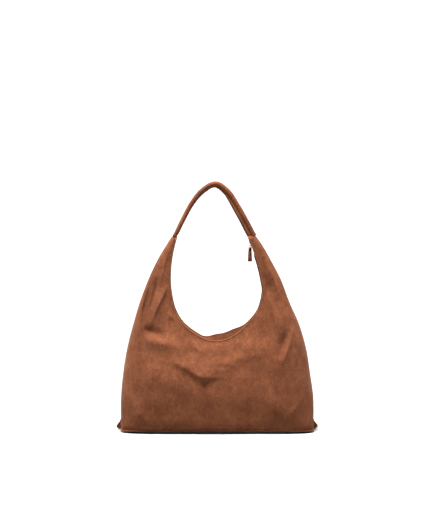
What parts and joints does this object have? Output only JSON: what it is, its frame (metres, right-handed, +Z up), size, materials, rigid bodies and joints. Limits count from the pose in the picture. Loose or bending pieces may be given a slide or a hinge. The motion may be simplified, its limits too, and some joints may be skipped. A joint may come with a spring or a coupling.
{
  "type": "hobo bag",
  "caption": "Slouchy suede hobo bag with a deep U-shaped mouth, a zip along both lips and a folded shoulder strap.",
  "frame": {"origin": "on the floor, at the centre of the bag's bounding box", "axes": "+Z up through the top of the strap, -Y out of the front panel, +X towards the zip slider's horn"},
  "size_m": [0.455, 0.1316, 0.5618],
  "materials": {
    "suede": "matte",
    "suede_edge": "matte",
    "lining": "matte",
    "tape": "matte",
    "coil": "satin",
    "board": "matte",
    "filler": "matte",
    "rose_gold": "polished"
  },
  "bodies": {
    "bag": {"back_lining": "lining", "back_lip_facing": "suede_edge", "back_panel": "suede", "back_zip_coil": "coil", "back_zip_tape": "tape", "base_board": "board", "bottom_lining": "lining", "bottom_panel": "suede", "bottom_piping": "suede_edge", "front_lining": "lining", "front_lip_facing": "suede_edge", "front_panel": "suede", "front_zip_coil": "coil", "front_zip_tape": "tape", "inner_slip_pocket": "lining", "left_corner_ear": "suede", "left_side_seam": "suede_edge", "left_zip_stop": "rose_gold", "right_corner_ear": "suede", "right_side_seam": "suede_edge", "right_zip_stop": "rose_gold"},
    "strap": {"strap_skin": "suede", "strap_core": "filler", "left_strap_end": "suede", "right_strap_end": "suede"},
    "slider": {"zip_slider_body": "rose_gold", "zip_slider_bail": "rose_gold"},
    "ring": {"pull_ring": "rose_gold"},
    "tab": {"pull_ferrule": "rose_gold", "pull_tab": "suede"}
  },
  "joints": [
    {"name": "strap_fold", "type": "hinge", "parent": "bag", "child": "strap", "pos_m": [0, 0, 0.4475], "axis": [1, 0, 0], "range_deg": [-110, 110]},
    {"name": "slider_travel", "type": "hinge", "parent": "bag", "child": "slider", "pos_m": [-0.294, 0, 0.268], "axis": [0, 1, 0], "range_deg": [0, 12]},
    {"name": "ring_swing", "type": "hinge", "parent": "slider", "child": "ring", "pos_m": [0.0734, 0, 0.42771], "axis": [0, 1, 0], "range_deg": [-3, 70]},
    {"name": "tab_swing", "type": "hinge", "parent": "ring", "child": "tab", "pos_m": [0.0734, 0, 0.41619], "axis": [0, 1, 0], "range_deg": [-6, 30]}
  ]
}
